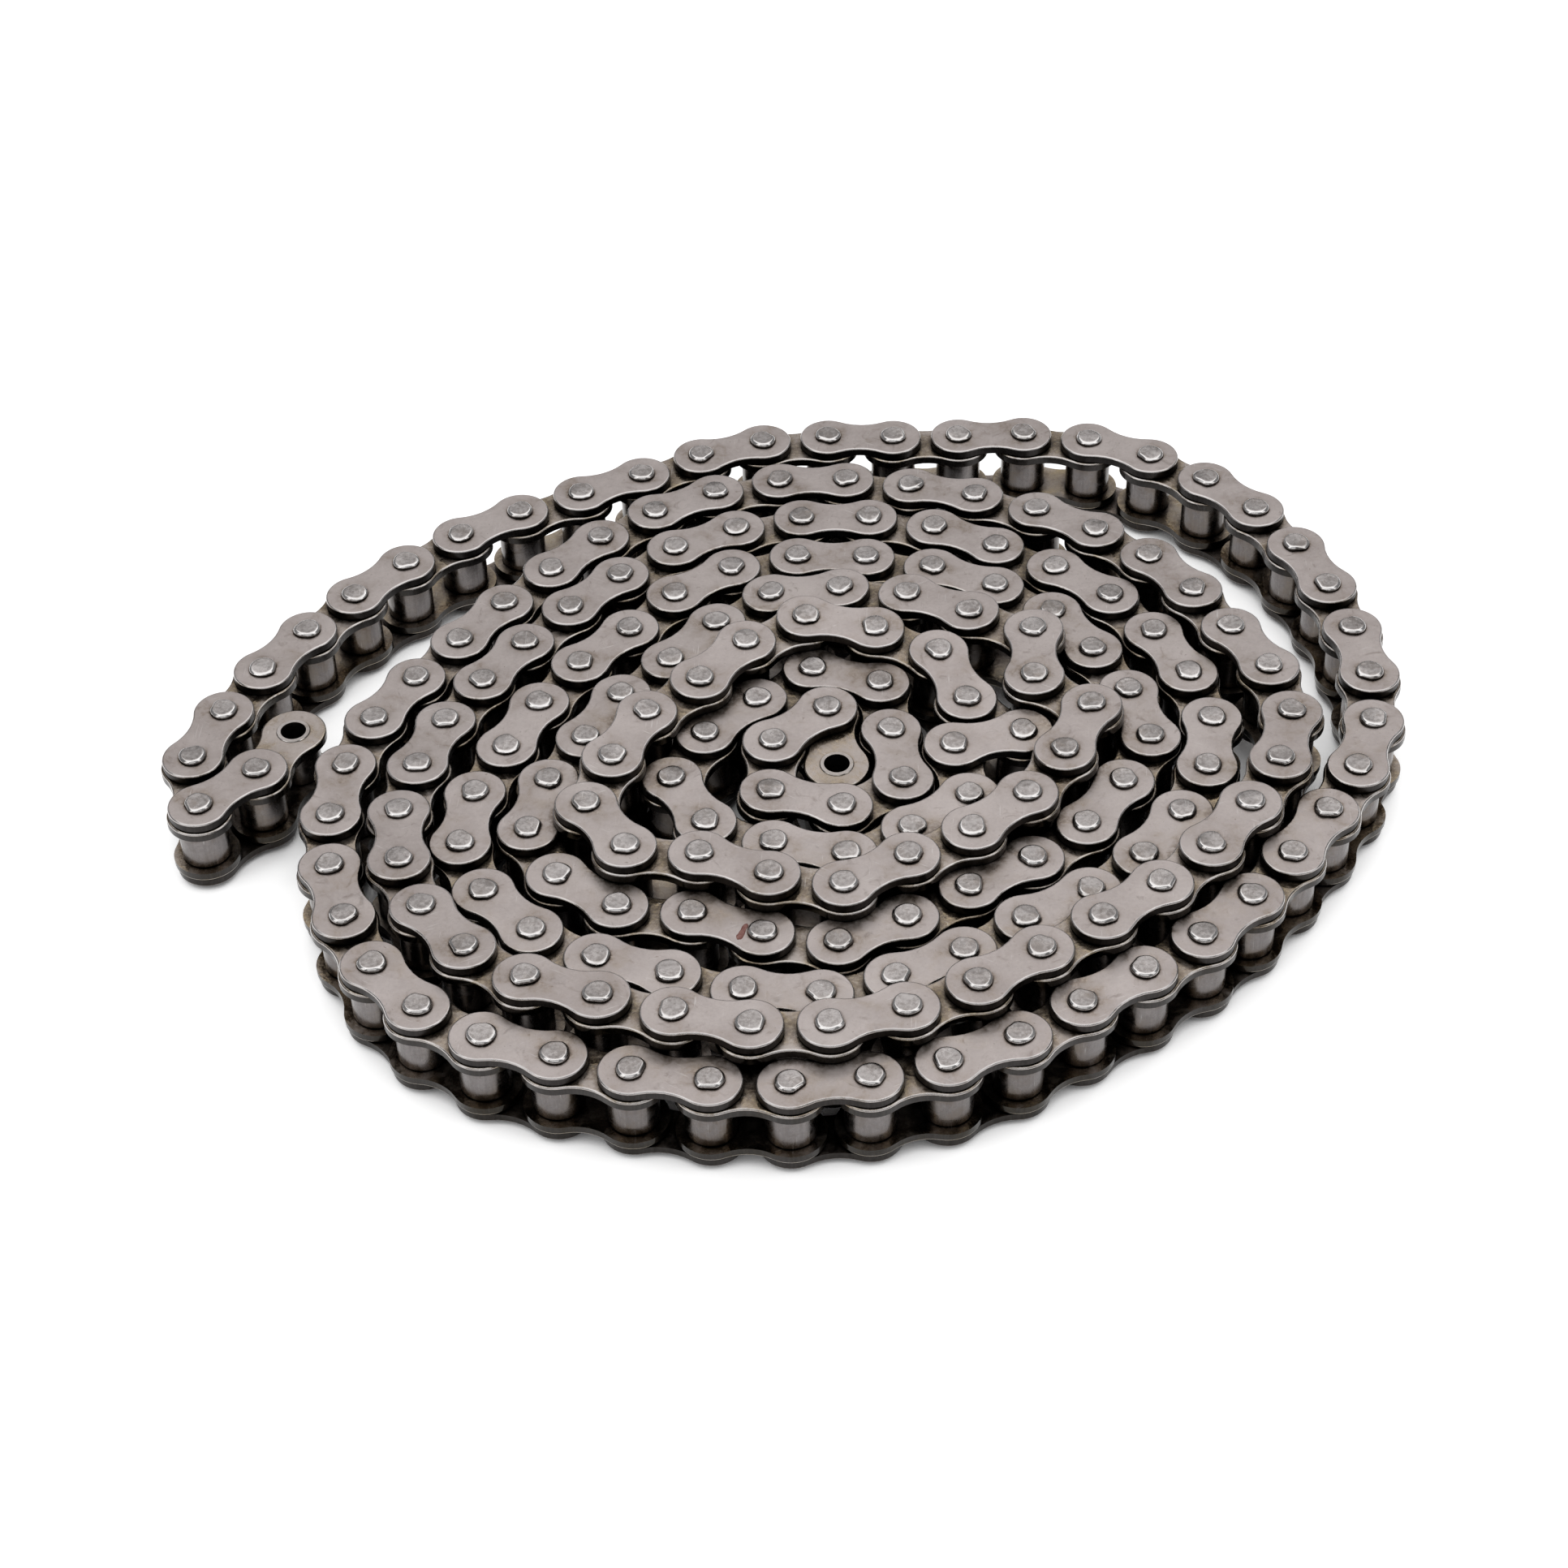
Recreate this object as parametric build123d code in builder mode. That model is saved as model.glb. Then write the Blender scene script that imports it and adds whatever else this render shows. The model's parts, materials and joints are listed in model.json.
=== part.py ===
from build123d import *
from math import cos, floor, radians, sin, tan
import os

# A length of European half-inch simplex roller chain, ISO 606 size 08B-1, lying in a
# loose flat coil.  Inner (roller) links and outer (pin) links alternate; both ends are
# inner links with an open bush.  All sizes are in millimetres, all angles in degrees.

# --- one link ---------------------------------------------------------------------
PITCH = 12.7
ROLLER_RADIUS = 8.51 / 2
ROLLER_LENGTH = 7.65
INNER_WIDTH = 7.75
PLATE_THICKNESS = 1.6
BUSH_RADIUS = 3.0
BUSH_BORE_RADIUS = 2.27
BUSH_LENGTH = 11.3
ROLLER_BORE_RADIUS = 3.06
PIN_RADIUS = 2.19
PIN_LENGTH = 16.5
OUTER_GAP = 11.43
INNER_LOBE_RADIUS = 11.6 / 2
INNER_WAIST = 4.3
OUTER_LOBE_RADIUS = 10.8 / 2
OUTER_WAIST = 4.0
RIM_RADIUS = 0.4
HEAD_RADIUS = 2.42
HEAD_EDGE = 0.3
BUSH_EDGE = 0.12
ROLLER_EDGE = 0.2

# --- how the chain lies -------------------------------------------------------------
# Four turns wind clockwise and inward around the coil's middle.  The list is the
# distance from that middle to the chain every 20 degrees of winding, two rows to a
# turn, from just left of the middle; the first value only leads the curve in.
RADIUS_STEP = 20
COIL_RADII = [
    132,
    117, 104, 94.5, 87, 88.5, 88.5, 97.5, 99, 95,
    90.5, 80.5, 75.5, 73.5, 78, 82.5, 87.5, 96, 95,
    88.5, 78, 74, 75, 75.5, 72.5, 71.5, 72, 72,
    76, 70, 65, 63, 67.5, 73.5, 76.5, 84, 83.5,
    75, 67, 63.5, 63.5, 63.5, 62, 59.5, 60.5, 61,
    62.5, 59, 56, 53, 57, 63, 65, 71.5, 72.5,
    61.5, 55, 51, 53, 52, 50, 49, 49.5, 48.5,
    51.5, 46.5, 44, 41.5, 45, 51.5, 50, 59.5, 60.5,
    48.5, 43, 39.5, 49.5,
]
CURVE_START = 6
CURVE_LINKS = 141

# The loose outer end folds back on itself: the bend at each hinge from the curve out.
OUTER_END_BENDS = [-9, -30, -123, -22]

# Inside the fourth turn the chain is crumpled: the bend at each hinge going inward.
CORE_BENDS = [
    3.7, -13.4, -35.3, -15.1, -15.8, 0.4, -63.6, 50.1, -72.4, -9.8, -14.5,
    -11.3, 1.6, -42.6, -12.3, 14.8, -47.3, -52, -8.1, -19.5, 6.3, -17.8,
    -45, -14.2, -42.4, 28.6, -124.1, 84.5, -62.3, -9, -42, -11.9, -36.1,
    -55.1, -19.1, -5.1, -58, -64.7, 1.3, -65.4, -48, -77.1, -46.2, -124,
]

# Where strands cross over their neighbours the links lean a little and climb: the lean
# of a link along X and Y, at the links that are named, and evenly between them.
LEANS = [
    (48, 0, 0), (52, -0.8, 0.5), (56, 0, 0.6), (60, -1.8, 1.3),
    (64, -1.2, 1.6), (68, -0.5, 0.4), (72, -0.5, 0.6), (76, 0.2, -0.2),
    (80, 0, 2.1), (84, 0.6, 3.1), (88, -0.8, 0.7), (92, 0, 0.4),
    (96, 0, 0), (100, 0, 0), (132, 0, 0), (136, 0, 0),
    (140, 0.8, 0.5), (144, -1.5, 0.3), (148, -4.2, -0.4), (152, -2.4, 0.1),
    (156, 0.2, -1.1), (160, 0.4, 0.8), (164, 1.3, -1.8), (168, 2.5, -4.4),
    (172, 1.2, -2.7), (176, -0.5, -0.6), (180, -0.2, 0.1), (184, 2.5, -0.7),
    (188, 0.3, -2.4), (189, 1.9, -1),
]

# --- the loose end, taken apart hinge by hinge --------------------------------------
TAIL_LINKS = 14
BENCH_LINKS = 4


def coil_point(angle):
    """A point of the chain's curve, from the coil's middle, at a winding angle."""
    row = min(floor(angle / RADIUS_STEP), len(COIL_RADII) - 4)
    along = angle / RADIUS_STEP - row
    before, start, end, after = COIL_RADII[row:row + 4]
    slope = end - before
    curve = 2 * before - 5 * start + 4 * end - after
    twist = 3 * (start - end) + after - before
    radius = start + along / 2 * (slope + along * (curve + along * twist))
    return Vector(-radius * cos(radians(angle)), radius * sin(radians(angle)))


def next_hinge(angle):
    """The winding angle of the hinge one pitch further along the curve."""
    here = coil_point(angle)
    near = angle
    far = angle + 40
    while far - near > 1e-9:
        middle = (near + far) / 2
        if (coil_point(middle) - here).length < PITCH:
            near = middle
        else:
            far = middle
    return near


def heading_of(start, end):
    return (end - start).get_signed_angle(Vector(1, 0, 0), Vector(0, 0, -1))


def ahead(start, heading):
    return start + PITCH * Vector(cos(radians(heading)), sin(radians(heading)))


def hinge_plan():
    """The hinges seen from above, from the outer end to the inner end."""
    angle = CURVE_START
    hinges = [coil_point(angle)]
    for _ in range(CURVE_LINKS):
        angle = next_hinge(angle)
        hinges.append(coil_point(angle))
    heading = heading_of(hinges[-2], hinges[-1])
    for bend in CORE_BENDS:
        heading += bend
        hinges.append(ahead(hinges[-1], heading))
    heading = heading_of(hinges[0], hinges[1])
    for bend in OUTER_END_BENDS:
        heading -= bend
        hinges.insert(0, ahead(hinges[0], heading + 180))
    return hinges


def lean_of(link):
    """The lean of one link along X and Y, between the links that LEANS names."""
    for (first, x_first, y_first), (last, x_last, y_last) in zip(LEANS, LEANS[1:]):
        if first <= link < last:
            share = (link - first) / (last - first)
            lean_x = x_first + share * (x_last - x_first)
            lean_y = y_first + share * (y_last - y_first)
            return Vector(tan(radians(lean_x)), tan(radians(lean_y)))
    return Vector(0, 0)


def link_frames():
    """One plane per link: origin at its first hinge, X to its second, Z along its pins."""
    plan = hinge_plan()
    centre = plan[0]
    frames = []
    for link, (start, end) in enumerate(zip(plan, plan[1:])):
        lean = lean_of(link)
        run = end - start
        climb = -run.dot(lean)
        along = (run + Vector(0, 0, climb)).normalized()
        frames.append(Plane(origin=centre, x_dir=along, z_dir=lean + Vector(0, 0, 1)))
        centre = centre + PITCH * along
    return frames


def stand_on_bench(frames):
    """The links' places, moved so that the lowest pin of an outer link ends on z = 0.

    The middle of the box around the hinges comes over the origin.
    """
    hinges = [frame.origin for frame in frames] + [frames[-1].from_local_coords((PITCH, 0, 0))]
    xs = [hinge.X for hinge in hinges]
    ys = [hinge.Y for hinge in hinges]
    heights = []
    for frame in frames[1::2]:
        upright = frame.z_dir.Z
        drop = PIN_LENGTH / 2 * upright + HEAD_RADIUS * (1 - min(upright, 1) ** 2) ** 0.5
        far_hinge = frame.from_local_coords((PITCH, 0, 0))
        heights.append(min(frame.origin.Z, far_hinge.Z) - drop)
    middle = Vector((min(xs) + max(xs)) / 2, (min(ys) + max(ys)) / 2, min(heights))
    return [Location(-middle) * frame.location for frame in frames]


def plate_outline(lobe, waist):
    """The waisted outline of a link plate, its two lobes one pitch apart."""
    half = PITCH / 2
    flank = (half**2 + waist**2 - lobe**2) / (2 * (lobe - waist))
    touch_x = half * lobe / (lobe + flank)
    touch_y = (waist + flank) * lobe / (lobe + flank)
    with BuildLine() as outline:
        ThreePointArc((touch_x, touch_y), (half, waist), (PITCH - touch_x, touch_y))
        ThreePointArc((PITCH - touch_x, touch_y), (PITCH + lobe, 0), (PITCH - touch_x, -touch_y))
        ThreePointArc((PITCH - touch_x, -touch_y), (half, -waist), (touch_x, -touch_y))
        ThreePointArc((touch_x, -touch_y), (-lobe, 0), (touch_x, touch_y))
    make_face(outline.edges())


# --- the pieces of one link, in the link's own frame ----------------------------------

with BuildPart() as inner_plate:
    with BuildSketch(Plane.XY.offset(INNER_WIDTH / 2)):
        plate_outline(INNER_LOBE_RADIUS, INNER_WAIST)
        with Locations((0, 0), (PITCH, 0)):
            Circle(BUSH_RADIUS, mode=Mode.SUBTRACT)
    extrude(amount=PLATE_THICKNESS)
    fillet(inner_plate.faces().sort_by(Axis.Z)[-1].outer_wire().edges(), RIM_RADIUS)

with BuildPart() as outer_plate:
    with BuildSketch(Plane.XY.offset(OUTER_GAP / 2)):
        plate_outline(OUTER_LOBE_RADIUS, OUTER_WAIST)
        with Locations((0, 0), (PITCH, 0)):
            Circle(PIN_RADIUS, mode=Mode.SUBTRACT)
    extrude(amount=PLATE_THICKNESS)
    fillet(outer_plate.faces().sort_by(Axis.Z)[-1].outer_wire().edges(), RIM_RADIUS)

HEAD_LENGTH = (PIN_LENGTH - OUTER_GAP) / 2 - PLATE_THICKNESS
HEAD_MIDDLE = (PIN_LENGTH - HEAD_LENGTH) / 2

with BuildPart() as pin:
    Cylinder(PIN_RADIUS, PIN_LENGTH)
    with Locations((0, 0, HEAD_MIDDLE), (0, 0, -HEAD_MIDDLE)):
        Cylinder(HEAD_RADIUS, HEAD_LENGTH)
    ends = pin.edges().group_by(Axis.Z)
    chamfer(ends[0] + ends[-1], HEAD_EDGE)

with BuildPart() as bush:
    Cylinder(BUSH_RADIUS, BUSH_LENGTH)
    rims = bush.edges().filter_by(GeomType.CIRCLE)
    chamfer(rims, BUSH_EDGE)
    Cylinder(BUSH_BORE_RADIUS, BUSH_LENGTH, mode=Mode.SUBTRACT)

with BuildPart() as roller:
    Cylinder(ROLLER_RADIUS, ROLLER_LENGTH)
    corners = roller.edges().filter_by(GeomType.CIRCLE)
    chamfer(corners, ROLLER_EDGE)
    Cylinder(ROLLER_BORE_RADIUS, ROLLER_LENGTH, mode=Mode.SUBTRACT)

FAR_HINGE = Location((PITCH, 0, 0))
TURNED_OVER = Location((0, 0, 0), (180, 0, 0))


def write(label, piece, places):
    """One node: a piece at each of its places."""
    with BuildPart() as node:
        with Locations(*places):
            add(piece)
    node.part.label = label
    export_step(node.part, f"parts/{label}.step")


def write_inner_link(name, place, apart):
    if apart:
        write(f"{name}_inner_plate_top", inner_plate.part, [place])
        write(f"{name}_inner_plate_bottom", inner_plate.part, [place * TURNED_OVER])
        write(f"{name}_bush_a", bush.part, [place])
        write(f"{name}_bush_b", bush.part, [place * FAR_HINGE])
    else:
        write(f"{name}_inner_plates", inner_plate.part, [place, place * TURNED_OVER])
        write(f"{name}_bushes", bush.part, [place, place * FAR_HINGE])
    write(f"{name}_roller_a", roller.part, [place])
    write(f"{name}_roller_b", roller.part, [place * FAR_HINGE])


def write_outer_link(name, place, apart):
    if apart:
        write(f"{name}_outer_plate_top", outer_plate.part, [place])
        write(f"{name}_outer_plate_bottom", outer_plate.part, [place * TURNED_OVER])
        write(f"{name}_pin_a", pin.part, [place])
        write(f"{name}_pin_b", pin.part, [place * FAR_HINGE])
    else:
        write(f"{name}_outer_plates", outer_plate.part, [place, place * TURNED_OVER])
        write(f"{name}_pins", pin.part, [place, place * FAR_HINGE])


# --- the whole chain ------------------------------------------------------------------

os.makedirs("parts", exist_ok=True)
links = stand_on_bench(link_frames())

for number, place in enumerate(links[:TAIL_LINKS], start=1):
    write_link = write_inner_link if number % 2 else write_outer_link
    write_link(f"link_{number:02}", place, number <= BENCH_LINKS)

inner_links = links[TAIL_LINKS::2]
outer_links = links[TAIL_LINKS + 1::2]
bush_places = inner_links + [place * FAR_HINGE for place in inner_links]
end_bush_place = bush_places.pop()
pin_places = outer_links + [place * FAR_HINGE for place in outer_links]

write("coil_inner_plates_top", inner_plate.part, inner_links)
write("coil_inner_plates_bottom", inner_plate.part, [place * TURNED_OVER for place in inner_links])
write("coil_outer_plates_top", outer_plate.part, outer_links)
write("coil_outer_plates_bottom", outer_plate.part, [place * TURNED_OVER for place in outer_links])
write("coil_bushes", bush.part, bush_places)
write("coil_end_bush", bush.part, [end_bush_place])
write("coil_rollers", roller.part, bush_places + [end_bush_place])
write("coil_pins", pin.part, pin_places)
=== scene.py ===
import json
import math
import random

import bmesh
import bpy
import numpy as np
from mathutils import Matrix, Vector

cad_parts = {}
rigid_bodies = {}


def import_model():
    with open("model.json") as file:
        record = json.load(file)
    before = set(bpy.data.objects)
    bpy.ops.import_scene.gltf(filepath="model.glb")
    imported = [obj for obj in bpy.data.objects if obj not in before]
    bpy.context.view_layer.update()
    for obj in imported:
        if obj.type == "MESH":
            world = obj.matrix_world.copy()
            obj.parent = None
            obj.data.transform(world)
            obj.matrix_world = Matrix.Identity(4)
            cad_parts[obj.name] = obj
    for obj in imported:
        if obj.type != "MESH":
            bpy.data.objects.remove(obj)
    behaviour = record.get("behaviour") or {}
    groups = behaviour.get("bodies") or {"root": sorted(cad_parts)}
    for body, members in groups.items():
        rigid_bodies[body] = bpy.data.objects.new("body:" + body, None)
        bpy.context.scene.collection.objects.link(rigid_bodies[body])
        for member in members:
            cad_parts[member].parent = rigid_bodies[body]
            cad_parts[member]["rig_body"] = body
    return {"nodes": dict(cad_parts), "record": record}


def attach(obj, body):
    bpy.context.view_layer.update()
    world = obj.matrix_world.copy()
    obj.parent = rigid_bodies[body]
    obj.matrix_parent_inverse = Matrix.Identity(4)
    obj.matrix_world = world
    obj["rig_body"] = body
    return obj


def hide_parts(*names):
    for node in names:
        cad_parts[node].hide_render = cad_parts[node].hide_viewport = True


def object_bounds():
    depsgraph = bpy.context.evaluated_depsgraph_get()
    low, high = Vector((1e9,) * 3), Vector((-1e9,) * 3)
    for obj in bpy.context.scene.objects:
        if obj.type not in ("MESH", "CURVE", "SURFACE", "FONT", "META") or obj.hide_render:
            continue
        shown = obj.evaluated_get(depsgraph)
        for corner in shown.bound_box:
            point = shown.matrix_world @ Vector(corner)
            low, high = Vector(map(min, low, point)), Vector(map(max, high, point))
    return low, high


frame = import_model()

MM = 0.001
cad_low, cad_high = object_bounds()
record = frame["record"]

# --- sizes of the riveted pins, in mm ------------------------------------------------

# Heights are measured from the middle of the pin.
PLATE_TOP = 7.315
SHAFT_RADIUS = 2.19
HEAD_RADIUS = 2.33
HEAD_HEIGHT = 0.935
HEAD_SIDES = 28
SIDE_WAYS = [2 * math.pi * side / HEAD_SIDES for side in range(HEAD_SIDES)]

# The rings of a head, as shares of its radius and height: up the bulged side, over the
# rolled rim and in across the struck face.
HEAD_RINGS = [
    (1.05, 0.0), (1.075, 0.18), (1.06, 0.42), (1.0, 0.66),
    (0.93, 0.86), (0.86, 0.97), (0.79, 1.0), (0.70, 0.975), (0.45, 0.96),
]
FACE_EDGE = 0.8  # share of the radius: rings inside it follow the struck face in full
SPARED_BELOW = 0.5  # share of the height: no blow reaches the side under it
FACE_UNEVENNESS = 0.012
SHARP_ANGLE = math.radians(38)
PIN_SEED = 8
PIN_TURNS = 6.28  # each pin is turned about its axis by up to this many radians

# --- size and place of the paint stroke, in mm ---------------------------------------

PAINT_NEAR = (-5.0, -51.0, 0)  # the stroke lies beside the pin that is nearest to this
PAINT_BESIDE = (-3.35, 0, 0)  # from the pin's axis to the stroke's middle
PAINT_RUN = (0.39, 0.92, 0)  # the way it runs
PAINT_LENGTH = 4.0
PAINT_HALF_WIDTH = 0.55
PAINT_NARROWING = 0.35  # share of the width that it loses towards its far end
PAINT_TIP = 0.05  # half of the width at its two ends
PAINT_RAGGED = 0.07  # how far its edges wander
PAINT_LIFT = 0.02  # above the plate
PAINT_BULGE = 0.02
PAINT_UNEVEN = 0.3  # share by which the bulge varies
PAINT_THICKNESS = 0.015
PAINT_STEPS = 14
PAINT_SEED = 3


# --- reading the frame ---------------------------------------------------------------


def solids_of(node):
    """The welded vertices of each solid of a CAD node, one array per solid."""
    work = bmesh.new()
    work.from_mesh(frame["nodes"][node].data)
    bmesh.ops.remove_doubles(work, verts=work.verts, dist=0.002 * MM)
    left = set(work.verts)
    solids = []
    while left:
        found = [left.pop()]
        for vertex in found:
            for edge in vertex.link_edges:
                other = edge.other_vert(vertex)
                if other in left:
                    left.remove(other)
                    found.append(other)
        solids.append(np.array([vertex.co for vertex in found]))
    work.free()
    return sorted(solids, key=lambda points: tuple(points.mean(axis=0).round(5)))


def pin_frames(node):
    """Middle and upward axis of each pin in a node, from its own vertices."""
    places = []
    for points in solids_of(node):
        middle = (points.min(axis=0) + points.max(axis=0)) / 2
        axis = np.linalg.eigh(np.cov((points - middle).T))[1][:, -1]
        axis = Vector(axis) * (1 if axis[2] > 0 else -1)
        turn = Vector((0, 0, 1)).rotation_difference(axis).to_matrix().to_4x4()
        places.append(Matrix.Translation(Vector(middle)) @ turn)
    return places


def new_piece(name, bm):
    """A smooth piece in the scene, made from a bmesh."""
    bmesh.ops.recalc_face_normals(bm, faces=bm.faces)
    mesh = bpy.data.meshes.new(name)
    bm.to_mesh(mesh)
    bm.free()
    mesh.shade_smooth()
    piece = bpy.data.objects.new(name, mesh)
    bpy.context.scene.collection.objects.link(piece)
    return piece


# --- riveted pins --------------------------------------------------------------------


def head_outline(rng):
    """Radius of one riveted head at each of its sides: nearly round, cut flat on a side."""
    flat_way = rng.uniform(0, 2 * math.pi)
    flat_at = rng.uniform(0.84, 0.93)
    lobes = [(2, rng.uniform(0.0, 0.025)), (3, rng.uniform(0.01, 0.035))]
    turns = [rng.uniform(0, 2 * math.pi) for _ in lobes]
    radii = []
    for way in SIDE_WAYS:
        radius = 1 + sum(size * math.cos(n * way + t) for (n, size), t in zip(lobes, turns))
        towards = math.cos(way - flat_way)
        if towards > 0:
            radius = min(radius, flat_at / towards)
        radii.append(radius)
    return radii


def head_top(rng):
    """A function for how far the struck face lies under its highest point, in mm."""
    tilt_way = rng.uniform(0, 2 * math.pi)
    tilt = rng.uniform(0.0, 0.06)
    blows = []
    way = rng.uniform(0, 2 * math.pi)
    for _ in range(rng.choice((1, 2, 2))):
        blows.append((way, rng.uniform(0.15, 0.5), rng.uniform(0.2, 0.42)))
        way += rng.uniform(1.8, 3.2)

    def drop(x, y):
        depth = tilt * (x * math.cos(tilt_way) + y * math.sin(tilt_way) + 1)
        for blow_way, start, slope in blows:
            depth += slope * max(0, x * math.cos(blow_way) + y * math.sin(blow_way) - start)
        return depth + rng.uniform(-FACE_UNEVENNESS, FACE_UNEVENNESS)

    return drop


def head_loops(rng):
    """Rings of points up a riveted head, and the middle of its face, in mm."""
    radii = head_outline(rng)
    drop = head_top(rng)
    loops = []
    for share, height in HEAD_RINGS:
        struck = max(0, (height - SPARED_BELOW) / (1 - SPARED_BELOW))
        if share < FACE_EDGE:
            struck = 1
        loop = []
        for way, radius in zip(SIDE_WAYS, radii):
            x = share * radius * math.cos(way)
            y = share * radius * math.sin(way)
            z = PLATE_TOP + HEAD_HEIGHT * height - struck * drop(x, y)
            loop.append((HEAD_RADIUS * x, HEAD_RADIUS * y, z))
        loops.append(loop)
    inner_height = HEAD_RINGS[-1][1]
    centre = (0, 0, PLATE_TOP + HEAD_HEIGHT * inner_height - drop(0, 0))
    return loops, centre


def add_ring(bm, place, points):
    return [bm.verts.new(place @ (Vector(point) * MM)) for point in points]


def join_rings(bm, lower, upper):
    count = len(lower)
    for i in range(count):
        j = (i + 1) % count
        bm.faces.new((lower[i], lower[j], upper[j], upper[i]))


def add_pin(bm, place, rng):
    """One pin with both ends riveted over."""
    turned = place @ Matrix.Rotation(math.pi, 4, "X")
    shaft_end = [
        (SHAFT_RADIUS * math.cos(way), SHAFT_RADIUS * math.sin(way), PLATE_TOP)
        for way in SIDE_WAYS
    ]
    necks = []
    for end in (place, turned):
        loops, centre = head_loops(rng)
        rings = [add_ring(bm, end, loop) for loop in loops]
        for lower, upper in zip(rings, rings[1:]):
            join_rings(bm, lower, upper)
        middle = bm.verts.new(end @ (Vector(centre) * MM))
        inner = rings[-1]
        for i in range(HEAD_SIDES):
            bm.faces.new((inner[i], inner[(i + 1) % HEAD_SIDES], middle))
        neck = add_ring(bm, end, shaft_end)
        join_rings(bm, neck, rings[0])
        necks.append(neck)
    # The lower neck was turned over, so its points run the other way round.
    upper, lower = necks
    lower = [lower[-i % HEAD_SIDES] for i in range(HEAD_SIDES)]
    join_rings(bm, lower, upper)


def riveted_pins(node, rng):
    """A piece with a riveted pin at each pin of a CAD node, which it stands for."""
    bm = bmesh.new()
    for place in pin_frames(node):
        add_pin(bm, place @ Matrix.Rotation(rng.uniform(0, PIN_TURNS), 4, "Z"), rng)
    piece = new_piece(node + "_riveted", bm)
    piece.data.set_sharp_from_angle(angle=SHARP_ANGLE)
    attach(piece, frame["nodes"][node]["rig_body"])
    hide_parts(node)
    return piece


# --- paint stroke --------------------------------------------------------------------


def paint_stroke():
    """A short stroke of red paint across one outer plate of the coil, beside a pin."""
    near = Vector(PAINT_NEAR) * MM
    pin = min(pin_frames("coil_pins"), key=lambda place: (place.translation - near).xy.length)
    up = pin.col[2].xyz
    along = Vector(PAINT_RUN)
    along = (along - up * along.dot(up)).normalized()
    across = along.cross(up)
    middle = pin.translation + (up * (PLATE_TOP + PAINT_LIFT) + Vector(PAINT_BESIDE)) * MM
    rng = random.Random(PAINT_SEED)
    bm = bmesh.new()
    rows = []
    for step in range(PAINT_STEPS + 1):
        reach = step / PAINT_STEPS
        fullness = (1 - PAINT_NARROWING * reach) * (1 - (2 * reach - 1) ** 8)
        half = PAINT_HALF_WIDTH * fullness + PAINT_TIP
        row = []
        for side in (-1, -0.5, 0, 0.5, 1):
            rough = rng.uniform(-PAINT_RAGGED, PAINT_RAGGED) if abs(side) == 1 else 0
            swell = 1 + rng.uniform(-PAINT_UNEVEN, PAINT_UNEVEN)
            height = PAINT_BULGE * (1 - side * side) * swell
            spot = along * (PAINT_LENGTH * (reach - 0.5))
            spot += across * (side * half + rough) + up * height
            row.append(bm.verts.new(middle + spot * MM))
        rows.append(row)
    for row, after in zip(rows, rows[1:]):
        for i in range(len(row) - 1):
            bm.faces.new((row[i], row[i + 1], after[i + 1], after[i]))
    piece = new_piece("paint_stroke", bm)
    piece.data.materials.append(paint())
    skin = piece.modifiers.new("thickness", "SOLIDIFY")
    skin.thickness = PAINT_THICKNESS * MM
    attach(piece, "coil")


# --- materials -----------------------------------------------------------------------


def rgb(red, green, blue):
    return (red, green, blue, 1.0)


NEAR_REACH = 3  # how far the dirt and painted shade round a pin's head reach, in mm
FAR_REACH = 9  # how far the oil film and the painted shade between links reach, in mm
PAPER_REACH = 16  # how far from the coil the paper is dimmed, in mm

# Near-black for dirt and painted shade in corners and round the pins' heads.
DIRT_AND_SHADE = rgb(0.020, 0.014, 0.011)
AMBER = rgb(0.33, 0.255, 0.14)
# Brown for smears and specks of stain, and for a ring of stain and painted shade round the heads
# and in corners.
SMUDGE_AND_SHADE = rgb(0.15, 0.11, 0.085)
# Pale colour for scratches, and for slanted rims, where it is burnished wear and a painted
# highlight.
BRIGHT_WEAR_AND_HIGHLIGHT = rgb(0.88, 0.86, 0.85)
PAINT_RED = rgb(0.20, 0.065, 0.05)
PAINT_WORN = rgb(0.33, 0.17, 0.145)


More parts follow.
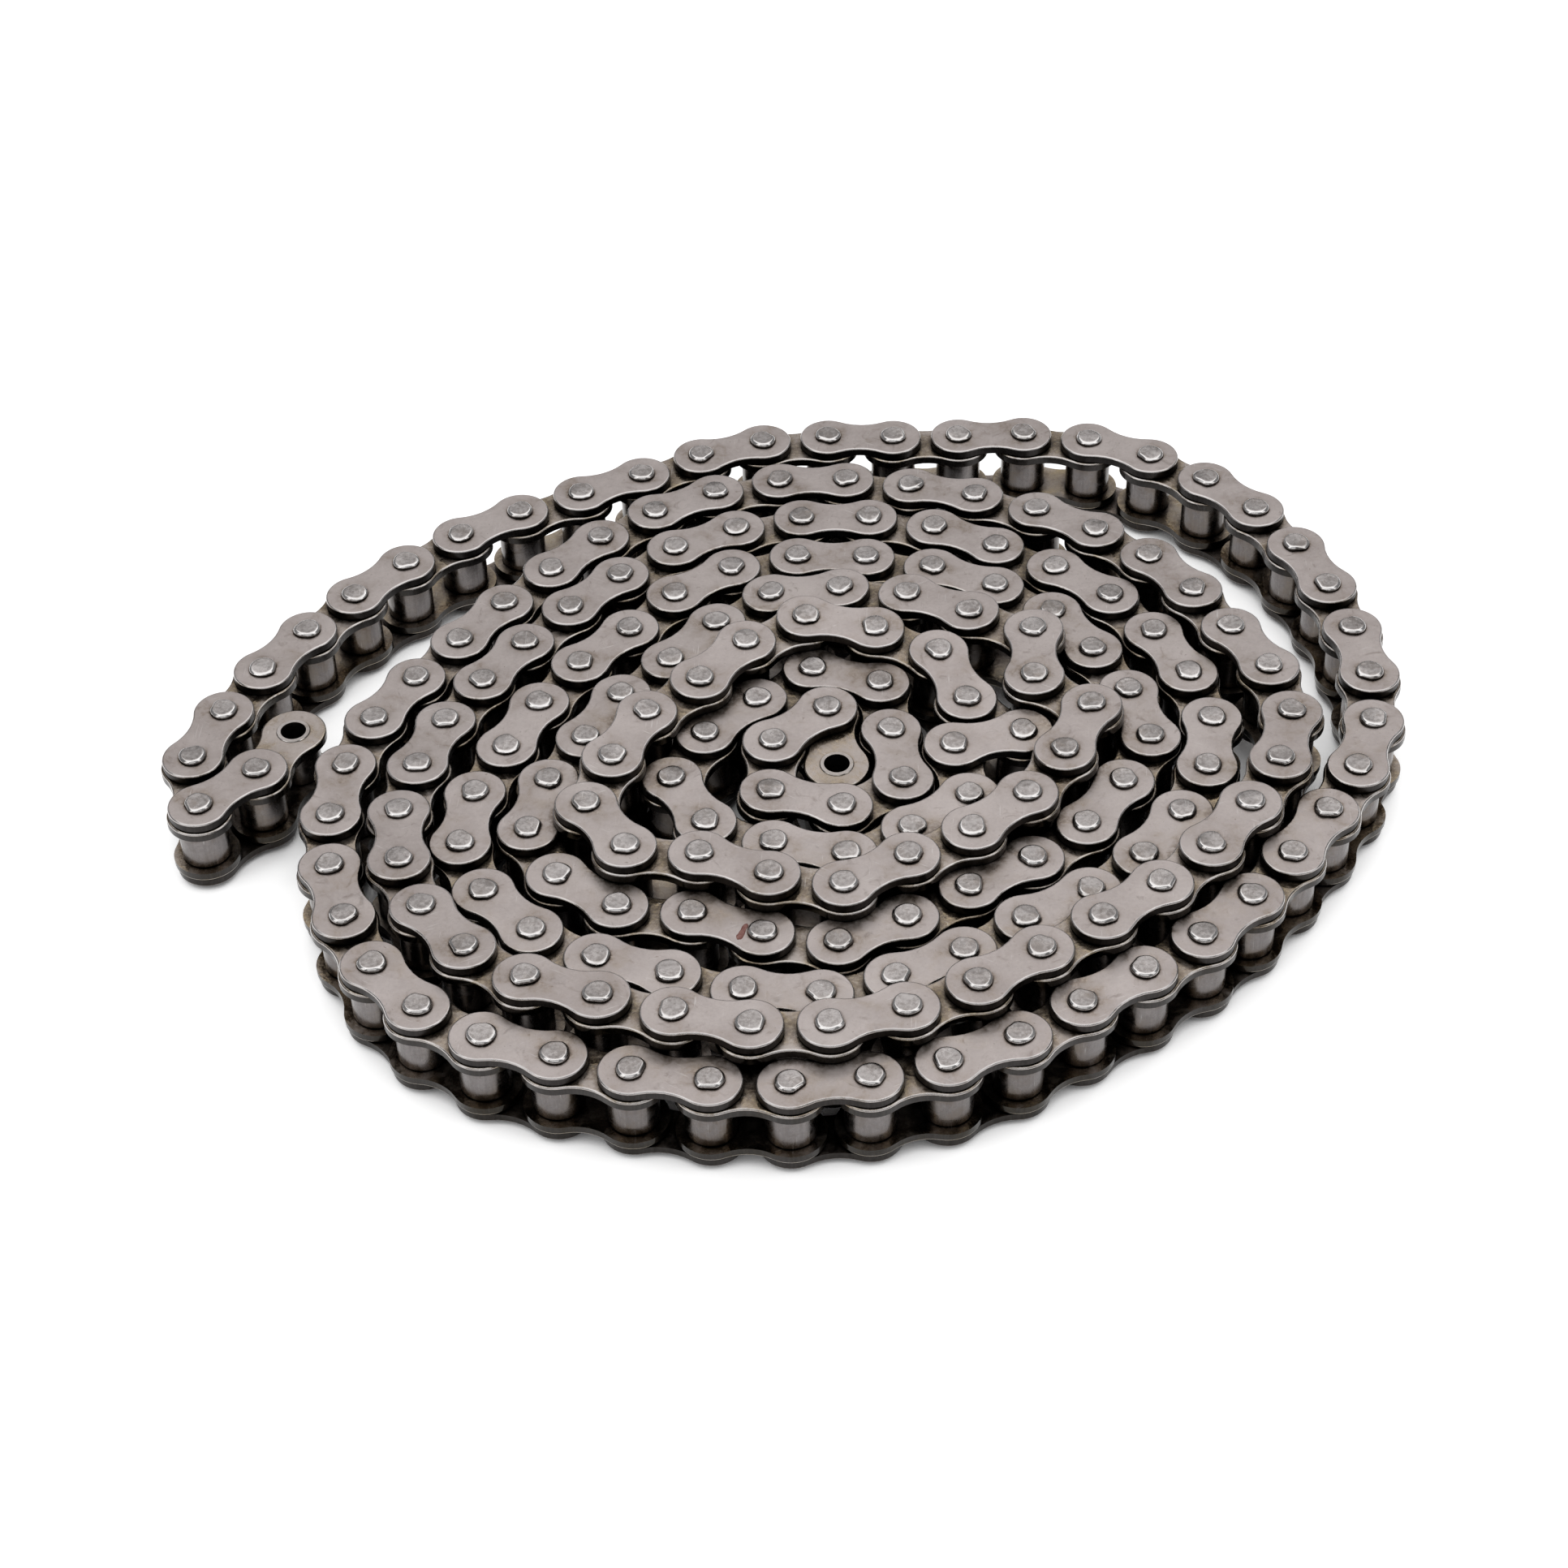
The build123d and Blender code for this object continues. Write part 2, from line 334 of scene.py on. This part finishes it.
class Shader:
    """A material's node tree, with short calls for adding and joining nodes.

    Any value may be a number or another node's output. Scales of noise are per metre.
    """

    def __init__(self, name):
        self.material = bpy.data.materials.new(name)
        self.material.use_nodes = True
        self.tree = self.material.node_tree
        self.tree.nodes.clear()

    def put(self, socket, value):
        if isinstance(value, bpy.types.NodeSocket):
            self.tree.links.new(value, socket)
        else:
            socket.default_value = value

    def node(self, kind, inputs=None, **settings):
        made = self.tree.nodes.new("ShaderNode" + kind)
        for key, value in settings.items():
            setattr(made, key, value)
        for key, value in (inputs or {}).items():
            self.put(made.inputs[key], value)
        return made

    def math(self, operation, first, second=0.0):
        return self.node("Math", {0: first, 1: second}, operation=operation).outputs[0]

    def times(self, first, second):
        return self.math("MULTIPLY", first, second)

    def plus(self, first, second):
        return self.math("ADD", first, second)

    def minus(self, first, second):
        return self.math("SUBTRACT", first, second)

    def total(self, *terms):
        """The sum of several (share, value) terms."""
        total = 0.0
        for share, value in terms:
            total = self.plus(total, self.times(value, share))
        return total

    def ramp(self, value, low, high, out_low=0.0, out_high=1.0):
        """value carried from low..high to out_low..out_high, smoothly, held at the ends."""
        inputs = {
            "Value": value, "From Min": low, "From Max": high,
            "To Min": out_low, "To Max": out_high,
        }
        return self.node("MapRange", inputs, interpolation_type="SMOOTHSTEP").outputs[0]

    def mix(self, share, first, second):
        made = self.node("Mix", data_type="RGBA")
        self.put(made.inputs["Factor"], share)
        self.put(made.inputs["A"], first)
        self.put(made.inputs["B"], second)
        return made.outputs["Result"]

    def shade(self, colour, share):
        """The colour times a share between 0 and 1."""
        inputs = {0: colour, "Scale": share}
        return self.node("VectorMath", inputs, operation="SCALE").outputs[0]

    def point(self):
        """The place on the piece, in its own axes."""
        return self.node("TexCoord").outputs["Object"]

    def stretched(self, point, turn, stretch):
        """The point turned about Z and stretched, for marks that run one way."""
        inputs = {"Vector": point, "Rotation": (0, 0, turn), "Scale": stretch}
        return self.node("Mapping", inputs, vector_type="TEXTURE").outputs[0]

    def noise(self, point, scale, detail=4.0, roughness=0.55, distortion=0.0):
        inputs = {
            "Vector": point, "Scale": scale, "Detail": detail,
            "Roughness": roughness, "Distortion": distortion,
        }
        return self.node("TexNoise", inputs).outputs["Fac"]

    def openness(self, reach):
        """1 in the open and 0 in a corner, as seen over a reach in mm."""
        return self.node("AmbientOcclusion", {"Distance": reach * MM}, samples=8).outputs["AO"]

    def bump(self, height, strength, distance):
        """The normal over a relief; a height of 1 stands for a distance in mm."""
        inputs = {"Height": height, "Strength": strength, "Distance": distance * MM}
        return self.node("Bump", inputs).outputs[0]

    def surfaced(self, inputs):
        """The material, once its surface has these inputs."""
        surface = self.node("BsdfPrincipled", inputs)
        self.node("OutputMaterial", {"Surface": surface.outputs[0]})
        return self.material


def scratches(shader, point, turns):
    """Fine straight scratches in several directions, 1 in a scratch and 0 beside it."""
    total = 0.0
    for turn in turns:
        along = shader.stretched(point, turn, (26, 1, 26))
        lines = shader.noise(along, 3400, detail=2.0)
        patches = shader.noise(point, 230 + 40 * turn, detail=1.0)
        line = shader.times(shader.ramp(lines, 0.66, 0.74), shader.ramp(patches, 0.48, 0.64))
        total = shader.math("MAXIMUM", total, line)
    return total


def steel(name, light, dark, roughness, film_amount, rim_wear_and_highlight, wall_finish_and_shade, streaky=0.25,
          mottled=0.22, oil=0.1, face_tone=1.0):
    """Oiled steel: mottled, scuffed, burnished with a painted highlight on its rolled rims,
    dirty and in painted shade where pieces meet.

    light and dark are the two tones of the bare metal, and mottled is the share of small spots
    in them. roughness is that of a clean face. film_amount is how much old oil lies in the
    corners of the faces, and oil the weight of the clear wet coat. rim_wear_and_highlight is how
    bright slanted rims are, as burnished wear and as a painted highlight. wall_finish_and_shade
    is the share of the colour that sheared upright walls keep, as their finish and as painted
    shade, streaky the strength of their streaks, and face_tone the share of the colour that
    level faces keep.
    """
    shader = Shader(name)
    point = shader.point()
    normal = shader.node("NewGeometry").outputs["Normal"]
    upward = shader.node("SeparateXYZ", {"Vector": normal}).outputs["Z"]
    level = shader.math("ABSOLUTE", upward)  # 1 on a level face and 0 on an upright wall

    # Noise from the size of a few links down to that of a grain.
    regions = shader.noise(point, 45, detail=1.0)
    waves = shader.noise(point, 120, detail=1.5)
    cloudy = shader.noise(point, 430, detail=5.0, roughness=0.6, distortion=0.5)
    mottle = shader.noise(point, 1500, detail=3.0, roughness=0.6)
    grain = shader.noise(point, 5200, detail=3.0, roughness=0.6)
    lines = scratches(shader, point, (0.4, 1.5, 2.6))

    # Bare metal, with smears and specks.
    shares = (0.30, 0.32, mottled, 0.08, 0.16)
    tone = shader.total(*zip(shares, (waves, cloudy, mottle, grain, regions)))
    middle_tone = sum(shares) / 2
    light_share = shader.ramp(tone, middle_tone - 0.16, middle_tone + 0.16)
    colour = shader.mix(light_share, dark, light)
    smear = shader.noise(point, 190, detail=6.0, roughness=0.65, distortion=2.2)
    smear = shader.times(shader.ramp(smear, 0.56, 0.74), 0.42)
    colour = shader.mix(smear, colour, SMUDGE_AND_SHADE)
    specks = shader.times(shader.ramp(mottle, 0.66, 0.74), 0.5)
    colour = shader.mix(specks, colour, SMUDGE_AND_SHADE)

    # Sheared walls, rolled rims and level faces. The walls are darkened for their sheared finish
    # and as painted shade, and the rims lightened as burnished wear and as a painted highlight.
    wall = shader.ramp(level, 0.12, 0.3, 1.0, 0.0)
    streaks = shader.noise(shader.stretched(point, 0.0, (1, 1, 14)), 2300, detail=3.0)
    streaked = shader.ramp(streaks, 0.36, 0.64, 1 - streaky, 1.0)
    wall_loss = shader.minus(1.0, shader.times(streaked, wall_finish_and_shade))
    wall_share = shader.minus(1.0, shader.times(wall, wall_loss))
    # Slanted rims are lightened, partly as burnished wear and partly as a painted highlight.
    rim = shader.times(shader.ramp(level, 0.2, 0.55), shader.ramp(level, 0.88, 0.995, 1.0, 0.0))
    colour = shader.mix(shader.times(rim, rim_wear_and_highlight), colour, BRIGHT_WEAR_AND_HIGHLIGHT)
    colour = shader.shade(colour, shader.ramp(level, 0.955, 0.998, 1.0, face_tone))

    # Amber oil in the corners, dirt and painted shade in the corners and round the heads, then
    # the scratches over them, then painted shade on the walls and deep between links.
    near = shader.openness(NEAR_REACH)
    far = shader.openness(FAR_REACH)
    patchy = shader.minus(shader.plus(cloudy, waves), 1.0)
    oily = shader.plus(far, shader.times(patchy, 0.9))
    film = shader.times(shader.ramp(oily, 0.42, 1.0, 1.0, 0.0), film_amount)
    film = shader.times(film, shader.ramp(far, 0.3, 0.55))
    colour = shader.mix(film, colour, AMBER)
    corner = shader.plus(near, shader.times(patchy, 0.45))
    # A blotchy ring of stain and painted shade round the heads and in corners, then near-black
    # dirt and painted shade closer in.
    corner_stain_and_shade = shader.times(shader.ramp(corner, 0.7, 0.99, 0.75, 0.0), shader.ramp(mottle, 0.3, 0.6))
    colour = shader.mix(corner_stain_and_shade, colour, SMUDGE_AND_SHADE)
    colour = shader.mix(shader.ramp(corner, 0.38, 0.77, 0.97, 0.0), colour, DIRT_AND_SHADE)
    colour = shader.mix(shader.times(lines, 0.3), colour, BRIGHT_WEAR_AND_HIGHLIGHT)
    # Upright walls keep only a share of their colour: partly their sheared finish, partly
    # painted shade.
    colour = shader.shade(colour, wall_share)
    # Painted shade deep between and under links, darkest where the wide occlusion is strongest.
    colour = shader.shade(colour, shader.ramp(far, 0.15, 0.6, 0.3, 1.0))

    rough = shader.ramp(cloudy, 0.3, 0.75, roughness - 0.07, roughness + 0.10)
    rough = shader.total((1.0, rough), (-0.20, film), (-0.12, rim), (0.10, smear))

    wet = shader.times(shader.noise(point, 1000, detail=1.5), film)
    relief = shader.total(
        (0.16, waves), (0.016, cloudy), (0.005, mottle), (0.0016, grain),
        (-0.003, lines), (0.09, wet), (0.004, streaks),
    )
    return shader.surfaced({
        "Base Color": colour, "Roughness": rough, "Normal": shader.bump(relief, 1.0, 1.0),
        "Metallic": 1.0, "Coat Weight": oil, "Coat Roughness": 0.08,
    })


def paint():
    """Old dull red marking paint, thin and worn through in places."""
    shader = Shader("marking_paint")
    worn = shader.noise(shader.point(), 1400, detail=4.0, roughness=0.65)
    return shader.surfaced({
        "Base Color": shader.mix(shader.ramp(worn, 0.35, 0.7), PAINT_RED, PAINT_WORN),
        "Roughness": shader.ramp(worn, 0.3, 0.7, 0.42, 0.62),
        "Normal": shader.bump(worn, 0.6, 0.03),
    })


def paper():
    """White paper that glows a little where it lies open, so it stays white round the coil."""
    shader = Shader("paper")
    tone = shader.noise(shader.point(), 40, detail=3.0)
    open_share = shader.openness(PAPER_REACH)
    return shader.surfaced({
        "Base Color": shader.mix(tone, rgb(0.93, 0.93, 0.93), rgb(0.96, 0.96, 0.96)),
        "Roughness": 0.9,
        "Emission Color": rgb(1, 1, 1),
        "Emission Strength": shader.ramp(open_share, 0.12, 0.6, 0.0, 0.6),
    })


STEELS = {
    "outer_plate_steel": dict(
        light=rgb(0.53, 0.475, 0.455), dark=rgb(0.385, 0.335, 0.32), roughness=0.40,
        film_amount=0.35, rim_wear_and_highlight=0.6, wall_finish_and_shade=0.08,
    ),
    "inner_plate_steel": dict(
        light=rgb(0.50, 0.445, 0.415), dark=rgb(0.34, 0.29, 0.265), roughness=0.37,
        film_amount=0.9, rim_wear_and_highlight=0.6, wall_finish_and_shade=0.08, oil=0.3,
    ),
    "pin_steel": dict(
        light=rgb(0.66, 0.615, 0.60), dark=rgb(0.36, 0.325, 0.31), roughness=0.27,
        film_amount=0.1, rim_wear_and_highlight=0.9, wall_finish_and_shade=0.3, mottled=0.6, face_tone=0.68,
    ),
    "bush_steel": dict(
        light=rgb(0.52, 0.48, 0.46), dark=rgb(0.36, 0.325, 0.305), roughness=0.34,
        film_amount=0.3, rim_wear_and_highlight=0.5, wall_finish_and_shade=0.6,
    ),
    "roller_steel": dict(
        light=rgb(0.33, 0.305, 0.30), dark=rgb(0.20, 0.18, 0.178), roughness=0.27,
        film_amount=0.25, rim_wear_and_highlight=0.4, wall_finish_and_shade=0.65, streaky=0.12,
    ),
}
materials = {name: steel(name, **look) for name, look in STEELS.items()}

rng = random.Random(PIN_SEED)
slot_of_node = {row["node"]: row["material_slot"] for row in record["subparts"]}
for name, piece in frame["nodes"].items():
    piece.data.materials.clear()
    piece.data.materials.append(materials[slot_of_node[name]])
    if slot_of_node[name] == "pin_steel":
        riveted = riveted_pins(name, rng)
        riveted.data.materials.append(materials["pin_steel"])

paint_stroke()

# --- floor, light and camera ---------------------------------------------------------

FLOOR_REACH = 6.0
FLOOR_GAP = 0.02 * MM
FLOOR_CORNERS = ((-1, -1), (1, -1), (1, 1), (-1, 1))

LIGHTS_AIM = Vector((0, 0, 0))

# Each light's place, width and length in metres, and its power in watts.
LIGHTS = {
    "overhead": ((0.0, 0.1, 0.9), (1.6, 1.4), 6.4),
    "back": ((0.15, 1.1, 0.85), (1.4, 0.6), 1.6),
    "front": ((-0.15, -1.1, 0.85), (1.4, 0.6), 1.4),
    "left": ((-0.9, -0.5, 0.6), (0.5, 0.8), 1.1),
    "right": ((1.0, -0.4, 0.7), (0.5, 0.8), 1.0),
}
WORLD_COLOUR = rgb(0.94, 0.94, 0.95)
WORLD_LIGHT = 0.2  # the world's strength as a light
WORLD_SEEN = 1.0  # and as the camera sees it, past the floor's edge

# The camera looks along +Y and down on the coil, a little rolled.
CAMERA_AIM = Vector((-0.73, -16.24, 16.53)) * MM
CAMERA_DISTANCE = 564.3 * MM
CAMERA_ELEVATION = math.radians(42.45)
CAMERA_ROLL = math.radians(-1.70)
CAMERA_LENS = 75.3
CAMERA_SENSOR = 36
CAMERA_CLIP = 0.01


def add_floor():
    height = cad_low.z - FLOOR_GAP
    corners = [(x * FLOOR_REACH, y * FLOOR_REACH, height) for x, y in FLOOR_CORNERS]
    mesh = bpy.data.meshes.new("floor")
    mesh.from_pydata(corners, [], [(0, 1, 2, 3)])
    floor = bpy.data.objects.new("floor", mesh)
    bpy.context.scene.collection.objects.link(floor)
    floor.data.materials.append(paper())


def add_light(name, spot, size, power):
    data = bpy.data.lights.new(name, "AREA")
    data.shape = "RECTANGLE"
    data.size, data.size_y = size
    data.energy = power
    light = bpy.data.objects.new(name, data)
    light.location = spot
    light.rotation_euler = (LIGHTS_AIM - Vector(spot)).to_track_quat("-Z", "Y").to_euler()
    bpy.context.scene.collection.objects.link(light)


def add_world():
    """An even pale surround, brighter to the camera than as a light."""
    world = bpy.data.worlds.new("studio")
    world.use_nodes = True
    bpy.context.scene.world = world
    nodes, links = world.node_tree.nodes, world.node_tree.links
    background = nodes["Background"]
    background.inputs["Color"].default_value = WORLD_COLOUR
    seen = nodes.new("ShaderNodeLightPath").outputs["Is Camera Ray"]
    strength = nodes.new("ShaderNodeMapRange")
    strength.inputs["To Min"].default_value = WORLD_LIGHT
    strength.inputs["To Max"].default_value = WORLD_SEEN
    links.new(seen, strength.inputs["Value"])
    links.new(strength.outputs[0], background.inputs["Strength"])


def add_camera():
    data = bpy.data.cameras.new("camera")
    data.lens = CAMERA_LENS
    data.sensor_width = CAMERA_SENSOR
    data.clip_start = CAMERA_CLIP
    camera = bpy.data.objects.new("camera", data)
    camera.matrix_world = (
        Matrix.Translation(CAMERA_AIM)
        @ Matrix.Rotation(math.pi / 2 - CAMERA_ELEVATION, 4, "X")
        @ Matrix.Rotation(CAMERA_ROLL, 4, "Z")
        @ Matrix.Translation((0, 0, CAMERA_DISTANCE))
    )
    bpy.context.scene.collection.objects.link(camera)
    bpy.context.scene.camera = camera


add_floor()
for name, (spot, size, power) in LIGHTS.items():
    add_light(name, spot, size, power)
add_world()
bpy.context.scene.view_settings.view_transform = "Standard"
add_camera()
